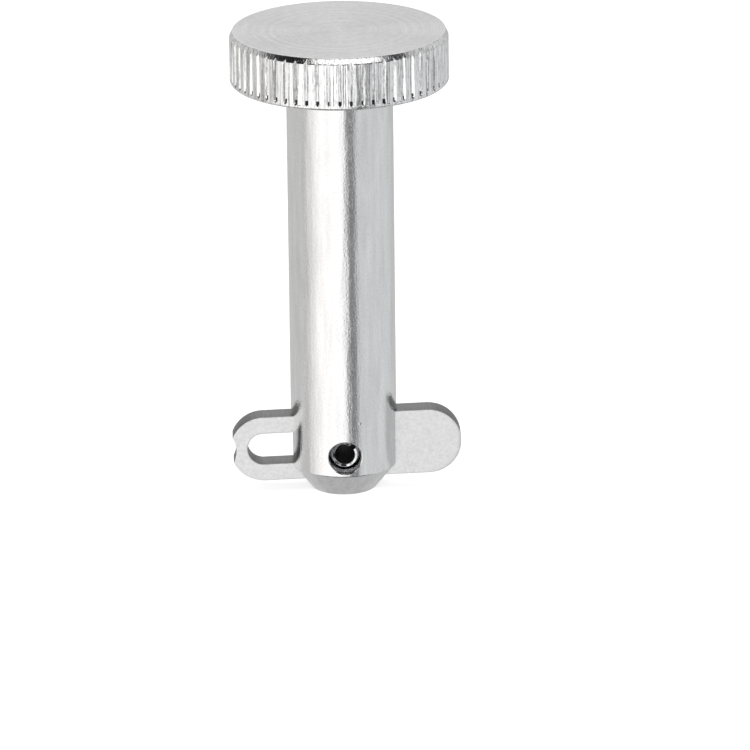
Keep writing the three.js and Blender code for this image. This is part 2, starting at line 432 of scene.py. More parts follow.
def grid_faces(rows, columns, wrap_rows=False):
    """Quads between neighbouring rows of a grid whose columns close into a ring."""
    last = rows if wrap_rows else rows - 1
    row = np.arange(last)[:, None]
    column = np.arange(columns)[None, :]
    following = (column + 1) % columns
    above = (row + 1) % rows
    corners = (
        row * columns + column,
        row * columns + following,
        above * columns + following,
        above * columns + column,
    )
    return np.stack(corners, axis=-1).reshape(-1, 4)


def new_piece(name, points, faces, materials, face_slots=None, sharp_degrees=20):
    """A mesh object at the origin, from metre points and index lists."""
    mesh = bpy.data.meshes.new(name)
    mesh.from_pydata(np.asarray(points).tolist(), [], faces)
    mesh.update()
    piece = bpy.data.objects.new(name, mesh)
    bpy.context.scene.collection.objects.link(piece)
    for material in materials:
        mesh.materials.append(material)
    if face_slots is not None:
        mesh.polygons.foreach_set("material_index", np.asarray(face_slots, np.int32))
    smooth(mesh, sharp_degrees)
    return piece


def smooth(mesh, sharp_degrees):
    """Shades a mesh smooth, except across edges that turn more sharply than the given angle."""
    mesh.shade_smooth()
    mesh.set_sharp_from_angle(angle=math.radians(sharp_degrees))
    mesh.update()


def revolved(profile, azimuths, radii=None):
    """Points and faces of a profile turned round the Z axis, with a pole at each end.

    A point is (radius cos azimuth, radius sin azimuth, height); radii, if given, is the whole grid
    of radii, which lets them change with azimuth.
    """
    rows, columns = len(profile) - 2, len(azimuths)
    if radii is None:
        radii = np.repeat(profile[1:-1, :1], columns, axis=1)
    heights = np.repeat(profile[1:-1, 1:], columns, axis=1)
    grid = np.stack([radii * np.cos(azimuths), radii * np.sin(azimuths), heights], axis=-1)
    first, last = rows * columns, rows * columns + 1
    poles = [[0, 0, profile[0, 1]], [0, 0, profile[-1, 1]]]
    points = np.concatenate([grid.reshape(-1, 3), poles])
    ring = np.arange(columns)
    following = (ring + 1) % columns
    top = (rows - 1) * columns
    faces = grid_faces(rows, columns).tolist()
    faces += np.stack([np.full(columns, first), following, ring], axis=1).tolist()
    faces += np.stack([ring + top, following + top, np.full(columns, last)], axis=1).tolist()
    return points, faces


def tube(rings):
    """Points and faces of a stack of rings, closed by a flat face at each end."""
    rows, columns = rings.shape[:2]
    faces = grid_faces(rows, columns).tolist()
    faces.append(list(range(columns))[::-1])
    faces.append(list(range((rows - 1) * columns, rows * columns)))
    return rings.reshape(-1, 3), faces


def outward(mesh):
    """Turns a closed mesh's faces round if they point inwards."""
    if signed_volume(mesh) < 0:
        mesh.flip_normals()


def signed_volume(mesh):
    """Six times the volume: over all triangles, the first corner dotted with the others' cross."""
    mesh.calc_loop_triangles()
    corners = np.empty(len(mesh.loop_triangles) * 3, np.int32)
    mesh.loop_triangles.foreach_get("vertices", corners)
    places = np.empty(len(mesh.vertices) * 3)
    mesh.vertices.foreach_get("co", places)
    a, b, c = np.moveaxis(places.reshape(-1, 3)[corners.reshape(-1, 3)], 1, 0)
    return float(np.einsum("ij,ij->", a, np.cross(b, c)))


def carve(piece, cutters):
    """Cuts closed cutters out of a piece, and leaves the result as its plain mesh."""
    for cutter in cutters:
        outward(cutter.data)
        modifier = piece.modifiers.new("cut", "BOOLEAN")
        modifier.operation = "DIFFERENCE"
        modifier.solver = "EXACT"
        modifier.object = cutter
    graph = bpy.context.evaluated_depsgraph_get()
    carved = bpy.data.meshes.new_from_object(piece.evaluated_get(graph))
    piece.modifiers.clear()
    piece.data = carved
    for cutter in cutters:
        bpy.data.objects.remove(cutter)


def stand_for(piece, node, body):
    """Puts a finished piece in the place of a node, moving with its body."""
    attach(piece, body)
    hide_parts(node)


# ---------------------------------------------------------------- sizes and colours


def length_property(name, description, millimetres):
    """A length setting, given in millimetres and stored in metres."""
    return bpy.props.FloatProperty(
        name=name, description=description, default=millimetres * MM, unit="LENGTH", precision=5
    )


def colour_property(name, description, hex_colour):
    """A colour setting, given as an sRGB hex value and stored linear."""
    return bpy.props.FloatVectorProperty(
        name=name,
        description=description,
        default=linear_rgb(hex_colour),
        subtype="COLOR",
        min=0,
        max=1,
    )


class BodySizes(bpy.types.PropertyGroup):
    """Sizes of the turned body that its outer box doesn't give."""

    shank_radius: length_property("Shank radius", "Radius of the plain shank", 6.35)
    head_thickness: length_property("Head thickness", "Height of the head", 6.25)
    top_chamfer_width: length_property("Top chamfer width", "Across the head's upper edge", 0.36)
    top_chamfer_height: length_property("Top chamfer height", "Down the head's upper edge", 0.7)
    lower_chamfer: length_property("Lower chamfer", "Head's lower edge", 0.25)
    neck_fillet: length_property("Neck fillet", "Radius where the shank meets the head", 0.6)
    tip_radius: length_property("Tip radius", "Radius of the flat tip", 3.9)
    tip_chamfer: length_property("Tip chamfer", "Height of the chamfer at the tip", 3.1)
    bore_radius: length_property("Bore radius", "Radius of the bore for ball and spring", 3.3)
    hole_radius: length_property("Cross hole radius", "Radius of the hole for the cross pin", 1.95)
    window_width: length_property("Window width", "Width of the sawn window", 3.3)
    window_top: length_property("Window top", "Height of the window's end above the tip", 9.95)
    knurl_width: length_property("Groove width", "Width of one knurl groove", 0.52)
    knurl_depth: length_property("Groove depth", "Depth of one knurl groove", 0.28)
    plain_ring: length_property("Plain ring", "Unknurled height below the grooves", 0.45)
    knurl_count: bpy.props.IntProperty(
        name="Groove count", description="Knurl grooves round the head", default=61, min=12
    )
    knurl_azimuth: bpy.props.FloatProperty(
        name="Groove azimuth",
        description="Direction that the first groove faces",
        default=math.radians(-90.9),
        subtype="ANGLE",
    )


class BladeSizes(bpy.types.PropertyGroup):
    """Sizes of the stamped blade that its outer box and its joints don't give."""

    width: length_property("Blade width", "Width of the strip", 8)
    solid_reach: length_property("Solid reach", "From the pivot to the solid end", 14.149)
    slot_radius: length_property("Slot radius", "Half the slot's width", 1.95)
    notch_radius: length_property("Notch radius", "Radius of the ball's notches", 3.2)
    notch_depth: length_property("Notch depth", "Depth of the ball's notches", 0.7)
    edge_radius: length_property("Edge radius", "Rounding of the strip's edges", 0.09)


class CrossPinSizes(bpy.types.PropertyGroup):
    """Sizes of the rolled cross pin."""

    wall: length_property("Wall", "Thickness of the rolled strip", 0.65)
    end_chamfer: length_property("End chamfer", "Taper at each end, twice as long as wide", 0.36)
    end_dish: bpy.props.FloatProperty(
        name="End dish",
        description="How far each end face leans in towards the bore",
        default=math.radians(39),
        subtype="ANGLE",
    )
    slit: length_property("Slit", "Gap along the pin", 0.9)
    slit_azimuth: bpy.props.FloatProperty(
        name="Slit azimuth",
        description="Direction of the slit, from the blade's solid end upwards",
        default=math.radians(45),
        subtype="ANGLE",
    )


class SpringSizes(bpy.types.PropertyGroup):
    """Sizes of the detent spring."""

    wire_radius: length_property("Wire radius", "Radius of the wire", 0.4)
    turns: bpy.props.IntProperty(
        name="Turns", description="Open turns between the closed ones", default=6, min=2
    )


class FinishColours(bpy.types.PropertyGroup):
    """Base colours of the metals."""

    bar: colour_property("Bar", "Zinc plate on the turned bar", "#DEDEDE")
    faced: colour_property("Faced end", "Zinc plate on the head's face", "#DADADA")
    strip: colour_property("Strip", "Zinc plate on the blade's faces", "#EBEBEB")
    edge: colour_property("Sheared edge", "Zinc plate on the blade's edges", "#808080")
    cross_pin: colour_property("Cross pin", "Oiled spring steel", "#D0D0D2")
    # The near-black colour given to the knurl grooves' feet, kept under the label Stain.
    knurl_feet: colour_property("Stain", "Residue in the knurl's feet", "#3A3B3E")
    oxide: colour_property("Oxide", "Black oxide inside the cross pin", "#141312")
    ball: colour_property("Ball", "Bearing steel", "#D8D9DB")
    spring: colour_property("Spring", "Music wire", "#94969A")
    floor: colour_property("Floor", "Pale floor", "#F4F4F4")


# ---------------------------------------------------------------- turned body


def body_profile(sizes):
    """Radius and height down the bore's wall, round the tip, up the shank and over the head.

    Straight stretches join at corners that are rounded by small arcs. The points between them carry
    the knurl, and keep the face's rings narrow.
    """
    shank = sizes.shank_radius / MM
    head = BODY_HIGH.x / MM
    top = BODY_HIGH.z / MM
    under = top - sizes.head_thickness / MM
    bore = sizes.bore_radius / MM
    bore_end = SPRING_HIGH.z / MM + 0.1
    rim_top = top - sizes.top_chamfer_height / MM
    face_radius = head - sizes.top_chamfer_width / MM
    lower = sizes.lower_chamfer / MM
    ring_top = under + sizes.plain_ring / MM
    drill_point = bore * math.tan(math.radians(31))
    groove_foot = ring_top + np.array([0, 0.06, 0.12, 0.18, 0.24, 0.42, 0.6])
    groove = np.linspace(ring_top + 1.2, rim_top - 0.25, 6)
    lip = np.array([head - 0.08, rim_top + 0.08])
    brow = np.array([face_radius, top])
    chamfer = [lip + (brow - lip) * share for share in (0, 0.15, 0.3, 0.45, 0.6, 0.75)]
    corners = [
        (0, bore_end + drill_point, 0),
        (bore, bore_end, 0.1),
        (bore, 0, 0.08),
        (sizes.tip_radius / MM, 0, 0.15),
        (shank, sizes.tip_chamfer / MM, 0.35),
        (shank, under, sizes.neck_fillet / MM),
        (head - lower, under, 0.1),
        (head, under + lower, 0.1),
        *[(head, height, 0) for height in (*groove_foot, *groove, rim_top)],
        *[(across, height, 0) for across, height in chamfer],
        (face_radius, top, 0.1),
        *[(radius, top, 0) for radius in (12.2, 9, 5, 1)],
        (0, top, 0),
    ]
    return rounded_profile(corners) * MM


def knurl_columns(sizes):
    """Azimuths round the head, and at each one how far a groove's wall stands above its floor.

    A groove is a V: the wall's height is the distance from the groove's middle, times its depth over
    half its width. Columns stand on the V's floor, walls and lips, and spread over the land between.
    """
    pitch = 2 * math.pi * BODY_HIGH.x / sizes.knurl_count
    half = sizes.knurl_width / 2
    in_groove = np.array([-1, -0.66, -0.33, -0.08, 0.08, 0.33, 0.66, 1]) * half
    land = np.linspace(half, pitch - half, 10)[1:-1]
    offsets = np.concatenate([in_groove, land])
    rise = np.abs(offsets) * sizes.knurl_depth / half
    starts = sizes.knurl_azimuth + np.arange(sizes.knurl_count) * 2 * math.pi / sizes.knurl_count
    azimuths = (starts[:, None] + offsets[None, :] / BODY_HIGH.x).ravel()
    return azimuths, np.tile(rise, sizes.knurl_count), len(offsets)


def knurled_radii(sizes, profile):
    """The whole grid of radii: the profile's own, or the groove's wall where that lies deeper.

    A groove rises to nothing over a short ramp at its foot, and grows shallow towards the upper
    chamfer. Each has its own small error in depth, and each land its own lengthwise streaks.
    """
    foot_ramp = 0.22 * MM
    fade_height = 1.2 * MM
    fade_share = 0.55
    depth_spread = 0.022 * MM
    raggedness = 0.007 * MM
    streak_depth = 0.03 * MM
    random = np.random.default_rng(RANDOM_SEED)
    azimuths, rise, per_groove = knurl_columns(sizes)
    radius, height = profile[1:-1, 0][:, None], profile[1:-1, 1][:, None]
    start = BODY_HIGH.z - sizes.head_thickness + sizes.plain_ring
    fade_start = BODY_HIGH.z - sizes.top_chamfer_height - 0.5 * MM
    foot = 1 - np.clip((height - start) / foot_ramp, 0, 1)
    fade = np.clip((height - fade_start) / fade_height, 0, 1) * fade_share
    depth_error = np.repeat(random.normal(0, depth_spread, sizes.knurl_count), per_groove)
    ragged = random.normal(0, raggedness, (len(radius), len(azimuths)))
    floor = BODY_HIGH.x - sizes.knurl_depth + rise + depth_error + ragged
    groove = floor + np.maximum(foot, fade) * sizes.knurl_depth
    streaks = random.uniform(-streak_depth, 0, len(azimuths)) + np.minimum(ragged, 0)
    on_rim = (radius > BODY_HIGH.x - 0.02 * MM) & (height > start)
    land = radius + np.where(on_rim, streaks, np.minimum(ragged, 0))
    knurled = (radius > BODY_HIGH.x - sizes.knurl_depth) & (height > start - 0.01 * MM)
    return azimuths, np.where(knurled, np.minimum(land, np.minimum(groove, BODY_HIGH.x)), radius)


def window_cutter(sizes):
    """A prism as wide as the window, a little wider where it breaks through the shank's surface."""
    half = sizes.window_width / 2
    flare = 0.05 * MM
    reach = sizes.shank_radius + 2 * MM
    brink = math.sqrt(sizes.shank_radius**2 - half**2) - flare
    corners = np.array([(reach, half + flare), (brink + flare, half + flare), (brink, half)])
    right = np.concatenate([corners[::-1], corners * (1, -1)])
    outline = np.concatenate([right, -right])
    heights = (-1 * MM, sizes.window_top)
    rings = np.stack([np.column_stack([outline, np.full(len(outline), z)]) for z in heights])
    points, faces = tube(rings)
    return new_piece("window_cutter", points, faces, [])


def hole_cutter(sizes):
    """A round bar along Y whose two ends flare as they come out through the shank's surface.

    A ring's point is (r cos t, y, pivot + r sin t). Its y is the shank's own depth there, the root of
    shank radius squared minus x squared, less the ring's depth below the surface.
    """
    turn = np.linspace(0, 2 * math.pi, 96, endpoint=False)
    # Each ring's extra radius and its depth below the surface, in millimetres, from outside inwards.
    steps = [(0.9, -0.8), (0.16, -0.02), (0.07, 0.05), (0.02, 0.12), (0, 0.2)]
    rings = []
    for side, flares in ((-1, steps), (1, steps[::-1])):
        for wider, deeper in flares:
            radius = sizes.hole_radius + wider * MM
            across = radius * np.cos(turn)
            depth = np.sqrt(sizes.shank_radius**2 - across**2) - deeper * MM
            height = PIVOT[2] + radius * np.sin(turn)
            rings.append(np.column_stack([across, side * depth, height]))
    points, faces = tube(np.array(rings))
    return new_piece("hole_cutter", points, faces, [])


def turned_body(sizes, colours):
    """The body: the knurled profile turned round the axis, then sawn and drilled across."""
    profile = body_profile(sizes)
    azimuths, radii = knurled_radii(sizes, profile)
    points, faces = revolved(profile, azimuths, radii)
    materials = [
        zinc_on_bar(colours),
        zinc_on_faced_end(colours),
        zinc_on_turned_rim(colours),
        dark_knurl_feet(colours),
    ]
    body = new_piece("turned_pin_body", points, faces, materials)
    carve(body, [window_cutter(sizes), hole_cutter(sizes)])
    centres = np.empty(len(body.data.polygons) * 3)
    body.data.polygons.foreach_get("center", centres)
    centres = centres.reshape(-1, 3)
    from_axis = np.hypot(centres[:, 0], centres[:, 1])
    on_rim = from_axis > BODY_HIGH.x - sizes.top_chamfer_width - sizes.knurl_depth
    hair = 0.002 * MM
    on_face = centres[:, 2] > BODY_HIGH.z - hair
    above_ring = centres[:, 2] - (BODY_HIGH.z - sizes.head_thickness + sizes.plain_ring)
    in_foot = on_rim & (above_ring > 0) & (above_ring < DARK_FEET_HEIGHT)
    # The near-black colour fills the lower half of a groove's depth.
    in_foot &= from_axis < BODY_HIGH.x - sizes.knurl_depth * 0.52
    # The numbers are places in the list of materials.
    slots = np.select([on_face, in_foot, on_rim], [1, 3, 2], 0)
    body.data.polygons.foreach_set("material_index", slots.astype(np.int32))
    smooth(body.data, 18)
    return body


# ---------------------------------------------------------------- stamped blade


def blade_loops(sizes):
    """The blade's outer edge and its slot's edge, as matching loops of (x, z) points.

    Both loops are a right arc, an upper line, a left arc and a lower line. The outer one dips into a
    notch on each line and at the left end, along a circle of the ball's size. The slot's matching
    points go round its right arc until the notch's lowest point and lie straight below after it.
    """
    end_points = 41
    line_points = 13
    notch_points = 17
    half = sizes.width / 2 / MM
    slot = sizes.slot_radius / MM
    travel = BLADE_TRAVEL / MM
    right = sizes.solid_reach / MM - half
    notch = sizes.notch_radius / MM
    centre = half - sizes.notch_depth / MM + notch
    side_angle = math.acos((centre - half) / notch)
    reach = notch * math.sin(side_angle)
    swing = np.linspace(side_angle, -side_angle, notch_points)
    dip = np.column_stack([notch * np.sin(swing), centre - notch * np.cos(swing)])

    def straight(start, end, count):
        """Points along the upper edge, without its two ends."""
        x = np.linspace(start, end, count)[1:-1]
        return np.column_stack([x, np.full(len(x), half)])

    upper = np.concatenate([straight(right, reach, line_points), dip, straight(-reach, -travel, 12)])
    lower = upper[::-1] * (1, -1)

    end_cos = (centre**2 + half**2 - notch**2) / (2 * centre * half)
    end_angle = math.acos(end_cos)
    notch_angle = math.asin(half * math.sin(end_angle) / notch)
    before = np.linspace(math.pi / 2, math.pi - end_angle, 22)
    bite = np.linspace(notch_angle, -notch_angle, notch_points)[1:-1]
    across_bite = np.linspace(math.pi - end_angle, math.pi + end_angle, notch_points)[1:-1]
    turn = np.concatenate([before, across_bite, 2 * math.pi - before[::-1]])
    arc = np.column_stack([half * np.cos(before), half * np.sin(before)])
    bitten = np.column_stack([-centre + notch * np.cos(bite), notch * np.sin(bite)])
    left = np.concatenate([arc, bitten, arc[::-1] * (1, -1)]) - (travel, 0)

    sweep = np.linspace(-math.pi / 2, math.pi / 2, end_points)
    solid = np.column_stack([right + half * np.cos(sweep), half * np.sin(sweep)])
    outer = np.concatenate([solid, upper, left, lower])

    # The slot's right arc faces the solid end up to 30 degrees, the upper line up to 45 degrees, and
    # the notch as far as its lowest point.
    facing_end, facing_line, facing_notch = 30, 45, 90
    front = np.radians(np.linspace(-facing_end, facing_end, end_points))
    to_line = np.linspace(facing_end, facing_line, line_points - 1)[1:]
    to_notch = np.linspace(facing_line, facing_notch, notch_points // 2 + 2)[1:]
    rise = np.radians(np.concatenate([to_line, to_notch]))
    rising = slot * np.column_stack([np.cos(rise), np.sin(rise)])
    below = upper[len(rise) :, 0]
    slot_upper = np.concatenate([rising, np.column_stack([below, np.full(len(below), slot)])])
    slot_lower = slot_upper[::-1] * (1, -1)
    slot_right = slot * np.column_stack([np.cos(front), np.sin(front)])
    slot_left = slot * np.column_stack([np.cos(turn), np.sin(turn)]) - (travel, 0)
    inner = np.concatenate([slot_right, slot_upper, slot_left, slot_lower])
    return outer * MM, inner * MM


def loop_normals(loop):
    """Outward normals of an anticlockwise loop: the chord between neighbours, turned clockwise."""
    chord = np.roll(loop, -1, axis=0) - np.roll(loop, 1, axis=0)
    normal = np.column_stack([chord[:, 1], -chord[:, 0]])
    return normal / np.linalg.norm(normal, axis=1)[:, None]


def stamped_blade(sizes, colours):
    """The blade: a ring-shaped skin that runs from the slot out over a face, round the outer edge,
    back over the other face and through the slot.

    A face's point lies at a share of the way from the slot's edge to the outer edge. At an edge the
    point is moved in along the edge's normal by r (1 - sin a) and down by r (1 - cos a).
    """
    outer, inner = blade_loops(sizes)
    outer_normal, inner_normal = loop_normals(outer), -loop_normals(inner)
    half = (BLADE_HIGH.y - BLADE_LOW.y) / 2
    radius = sizes.edge_radius
    angle = np.linspace(0, math.pi / 2, 4)

    def edge_rows(loop, normal, side):
        """Rows round one edge, from the face (angle 0) to the wall (angle 90 degrees)."""
        inset = radius * (1 - np.sin(angle))
        depth = half - radius * (1 - np.cos(angle))
        return [(loop - normal * i, np.full(len(loop), side * d)) for i, d in zip(inset, depth)]

    def face_rows(side):
        """Rows across a face, from the slot's edge to the outer edge."""
        start = inner - inner_normal * radius
        end = outer - outer_normal * radius
        return [
            (start + (end - start) * share, np.full(len(inner), side * half))
            for share in (0.03, 0.35, 0.68, 0.97)
        ]

    def half_skin(side):
        """Rows from the slot's wall, over one face, to the outer wall."""
        slot_edge = edge_rows(inner, inner_normal, side)[::-1]
        return slot_edge + face_rows(side) + edge_rows(outer, outer_normal, side)

    front = half_skin(-1)
    rows = front + half_skin(1)[::-1]
    flat = np.array([np.column_stack([plane[:, 0], depth, plane[:, 1]]) for plane, depth in rows])
    count, columns = flat.shape[:2]
    slots = np.zeros((count, columns), int)
    # The two walls, round the outside and round the slot, are sheared.
    slots[[len(front) - 1, count - 1]] = 1
    faces = grid_faces(count, columns, wrap_rows=True).tolist()
    materials = [zinc_on_strip(colours), zinc_on_sheared_edge(colours)]
    points = on_blade(flat.reshape(-1, 3))
    blade = new_piece("stamped_blade", points, faces, materials, slots.ravel())
    outward(blade.data)
    return blade


def on_blade(points):
    """Points in the blade's own frame, tilted by its rest angle and moved to the pivot."""
    x = points[:, 0] * math.cos(BLADE_TILT) - points[:, 2] * math.sin(BLADE_TILT)
    z = points[:, 0] * math.sin(BLADE_TILT) + points[:, 2] * math.cos(BLADE_TILT)
    return np.column_stack([x, points[:, 1], z]) + PIVOT


# ---------------------------------------------------------------- cross pin, ball and spring


def rolled_cross_pin(sizes, colours):
    """The cross pin: its wall's rounded section carried round an arc that stops short at the slit.

    A point is (r cos a, y, r sin a), with (r, y) on the section and a on the arc. Each end face leans
    in towards the bore: y loses the distance inside its outer edge times the lean's tangent, and the
    lean is least on the side of the blade's solid end.
    """
    outer = (PIN_HIGH.y - PIN_LOW.y) / 2 / MM
    radius = (PIN_HIGH.z - PIN_LOW.z) / 2 / MM
    inner = radius - sizes.wall / MM
    taper = sizes.end_chamfer / MM
    quarter = [
        (inner, 0, 0),
        (inner, outer, 0.05),
        (inner + 0.06, outer, 0),
        (radius - taper - 0.05, outer, 0),
        (radius - taper, outer, 0.04),
        (radius, outer - 2 * taper, 0.15),
        (radius, 0, 0),
    ]
    upper = rounded_profile(quarter)
    lower = upper[::-1] * (1, -1)
    section = np.concatenate([upper, lower[1:-1]]) * MM
    half_slit = math.asin(sizes.slit / 2 / (radius * MM))
    arc = sizes.slit_azimuth + np.linspace(half_slit, 2 * math.pi - half_slit, 73)
    r, y = section[None, :, 0], section[None, :, 1]
    turn = arc[:, None]
    flatter = 0.6 * np.clip(np.cos(turn), 0, 1) ** 0.7
    lean = np.tan(sizes.end_dish * (1 - flatter))
    below_edge = np.clip((radius - taper) * MM - r, 0, None) * (np.abs(y) > outer * MM / 2)
    y = y - np.sign(y) * below_edge * lean
    rings = np.stack([r * np.cos(turn), y, r * np.sin(turn)], axis=-1)
    points, faces = tube(rings)
    in_bore = np.zeros((len(arc) - 1, len(section)), int)
    walls = (section[:, 0] + np.roll(section[:, 0], -1)) / 2
    in_bore[:, walls < inner * MM + 1e-9] = 1
    slots = np.concatenate([in_bore.ravel(), [0, 0]])
    materials = [rolled_spring_steel(colours), oxide_in_pin_bore(colours)]
    pin = new_piece("rolled_cross_pin", on_blade(points), faces, materials, slots)
    outward(pin.data)
    return pin


def detent_ball(colours):
    """The ball: a circle's arc from pole to pole, turned round the Z axis."""
    radius = (BALL_HIGH.z - BALL_LOW.z) / 2
    centre = (BALL_HIGH.z + BALL_LOW.z) / 2
    angle = np.linspace(-math.pi / 2, math.pi / 2, 49)
    profile = np.column_stack([radius * np.cos(angle), centre + radius * np.sin(angle)])
    azimuths = np.linspace(0, 2 * math.pi, 96, endpoint=False)
    points, faces = revolved(profile, azimuths)
    return new_piece("lapped_ball", points, faces, [bearing_steel(colours)], sharp_degrees=60)


def coil_spring(sizes, colours):
    """The spring: a round wire carried up a helix, with a closed turn and a ground end top and bottom.

    The centre line climbs by a little over one wire thickness in each closed turn, and evenly in
    between. A wire point is the centre line plus the wire's radius times cos and sin of its own
    angle, along the radius and the binormal. Grinding cuts heights off a little inside each end.
    """
    wire = sizes.wire_radius
    coil = (SPRING_HIGH.x - SPRING_LOW.x) / 2 - wire
    turns = sizes.turns + 2
    low, high = SPRING_LOW.z + wire, SPRING_HIGH.z - wire
    closed = 2 * wire + 0.1 * MM
    turn = np.linspace(0, turns, 48 * turns + 1)
    height = np.interp(turn, [0, 1, turns - 1, turns], [low, low + closed, high - closed, high])
    azimuth = 2 * math.pi * turn
    out = np.column_stack([np.cos(azimuth), np.sin(azimuth), np.zeros(len(turn))])
    line = coil * out + np.column_stack([np.zeros((len(turn), 2)), height])
    tangent = np.gradient(line, axis=0)
    tangent /= np.linalg.norm(tangent, axis=1)[:, None]
    binormal = np.cross(tangent, out)
    angle = np.linspace(0, 2 * math.pi, 16, endpoint=False)[None, :, None]
    rings = line[:, None] + wire * (np.cos(angle) * out[:, None] + np.sin(angle) * binormal[:, None])
    ground = wire * 0.4
    rings[..., 2] = np.clip(rings[..., 2], SPRING_LOW.z + ground, SPRING_HIGH.z - ground)
    points, faces = tube(rings)
    spring = new_piece("coiled_spring", points, faces, [drawn_wire(colours)], sharp_degrees=50)
    outward(spring.data)
    return spring


# ---------------------------------------------------------------- stage


def pale_floor(colours):
    """A wide, pale, matt disc under the pin, kept out of the metal's reflections."""
    radius = 3.0
    corners = 96
    turn = np.linspace(0, 2 * math.pi, corners, endpoint=False)
    height = np.full(corners, CAD_LOW.z - 0.02 * MM)
    points = np.column_stack([radius * np.cos(turn), radius * np.sin(turn), height])
    material = bpy.data.materials.new("matt_paper")
    material.use_nodes = True
    shader = material.node_tree.nodes["Principled BSDF"]
    shader.inputs["Base Color"].default_value = (*colours.floor, 1)
    shader.inputs["Roughness"].default_value = 0.9
    shader.inputs["Specular IOR Level"].default_value = 0.1
    shader.inputs["Emission Color"].default_value = (*colours.floor, 1)
    shader.inputs["Emission Strength"].default_value = 0.75
    floor = new_piece("floor", points, [list(range(corners))], [material])
    floor.visible_glossy = False


def studio_light():
    """Soft studio light from all round: broad pale panels with narrow dark gaps between them.

    The direction's azimuth, from -180 to 180 degrees with 0 towards the camera, picks a grey from one
    ramp for level and low directions and from another for raised ones. Three patches lie over that: a
    dark gap high in front, a grey ground straight below, and a dark belt round the ground in front.
    """
    scene = bpy.context.scene
    world = bpy.data.worlds.new("studio")
    scene.world = world
    world.use_nodes = True
    tree = world.node_tree
    background = tree.nodes["Background"]
    direction = add_node(tree, "ShaderNodeTexCoord").outputs["Generated"]
    axes = add_node(tree, "ShaderNodeSeparateXYZ", inputs={"Vector": direction})
    towards = add_node(
        tree, "ShaderNodeMath", {"operation": "MULTIPLY"}, {0: axes.outputs["Y"], 1: -1.0}
    )
    azimuth = add_node(
        tree,
        "ShaderNodeMath",
        {"operation": "ARCTAN2"},
        {0: axes.outputs["X"], 1: towards.outputs[0]},
    )
    around = add_node(
        tree,
        "ShaderNodeMapRange",
        inputs={"Value": azimuth.outputs[0], "From Min": -math.pi, "From Max": math.pi},
    )

    def bands(stops):
        """A ramp of (degrees of azimuth, grey, warmth) stops."""
        node = add_node(tree, "ShaderNodeValToRGB", inputs={"Fac": around.outputs["Result"]})
        return set_ramp(node, [(degrees / 360 + 0.5, *colour) for degrees, *colour in stops])

    def window(value, steps):
        """One between the two inner steps of a value, falling to nothing at the two outer ones."""
        slopes = [
            add_node(
                tree,
                "ShaderNodeMapRange",
                {"interpolation_type": "SMOOTHSTEP"},
                {"Value": value, "From Min": outer, "From Max": inner},
            )
            for outer, inner in (steps[:2], steps[:1:-1])
        ]
        inputs = {0: slopes[0].outputs["Result"], 1: slopes[1].outputs["Result"]}
        return add_node(tree, "ShaderNodeMath", {"operation": "MULTIPLY"}, inputs).outputs[0]

    low = bands(
        [
            (-180, 0.3, 0),
            (-150, 0.33, 0),
            (-98, 0.36, 0.008),
            (-91, 0.26, 0.008),
            (-86, 0.37, 0.012),
            (-50, 0.67, 0.012),
            (-8, 0.71, 0),
            (2, 0.66, 0),
            (9, 0.54, 0),
            (13, 0.17, 0),
            (27, 0.1, -0.02),
            (31, 0.34, -0.01),
            (40, 0.4, -0.012),
            (120, 0.39, -0.012),
            (150, 0.31, 0),
            (180, 0.29, 0),
        ]
    )
    high = bands(
        [
            (-180, 0.66, 0),
            (-168, 0.5, 0),
            (-155, 0.34, 0),
            (-95, 0.3, 0),
            (-80, 0.02, 0),
            (-34, 0.0, 0),
            (-28, 0.8, 0.01),
            (44, 0.8, 0),
            (50, 0.02, -0.1),
            (72, 0.03, -0.1),
            (84, 0.34, 0),
            (150, 0.32, 0),
            (166, 0.42, 0),
            (180, 0.66, 0),
        ]
    )
    raised = add_node(
        tree,
        "ShaderNodeMapRange",
        {"interpolation_type": "SMOOTHSTEP"},
        {"Value": axes.outputs["Z"], "From Min": 0.12, "From Max": 0.32},
    )
    sides = add_node(
        tree,
        "ShaderNodeMix",
        {"data_type": "RGBA"},
        {"Factor": raised.outputs["Result"], "A": low.outputs["Color"], "B": high.outputs["Color"]},
    )
    light = sides.outputs["Result"]
    in_front = window(axes.outputs["Y"], (-2, -1.5, -0.25, -0.1))
    for steps, only_in_front, colour in (
        ((0.66, 0.74, 0.95, 0.98), True, (0, 0, 0, 1)),
        ((-2, -1.5, -0.9, -0.7), False, (0.28, 0.28, 0.28, 1)),
        ((-0.98, -0.92, -0.7, -0.6), True, (0.05, 0.05, 0.06, 1)),
    ):
        share = window(axes.outputs["Z"], steps)
        if only_in_front:
            both = {0: share, 1: in_front}
            share = add_node(tree, "ShaderNodeMath", {"operation": "MULTIPLY"}, both).outputs[0]
        inputs = {"Factor": share, "A": light, "B": colour}
        light = add_node(tree, "ShaderNodeMix", {"data_type": "RGBA"}, inputs).outputs["Result"]
    tree.links.new(light, background.inputs["Color"])
    background.inputs["Strength"].default_value = 2.0


def camera():
    """A long lens, standing off in front and looking down on the pin."""
    place = Vector((-0.014539, -0.747649, 0.268152))
    heading, drop, roll = math.radians(1.408), math.radians(18.782), math.radians(-0.632)
    data = bpy.data.cameras.new("camera")
    data.lens = 315.1
    data.sensor_width = 36
    data.clip_start, data.clip_end = 0.01, 20
    ahead = Vector(
        (math.sin(heading) * math.cos(drop), math.cos(heading) * math.cos(drop), -math.sin(drop))
    )
    level = Vector((math.cos(heading), -math.sin(heading), 0))
    upright = level.cross(ahead)
    right = level * math.cos(roll) + upright * math.sin(roll)
    up = upright * math.cos(roll) - level * math.sin(roll)
    turn = Matrix((right, up, -ahead)).transposed().to_4x4()
    viewer = bpy.data.objects.new("camera", data)
    viewer.matrix_world = Matrix.Translation(place) @ turn
    bpy.context.scene.collection.objects.link(viewer)
    bpy.context.scene.camera = viewer


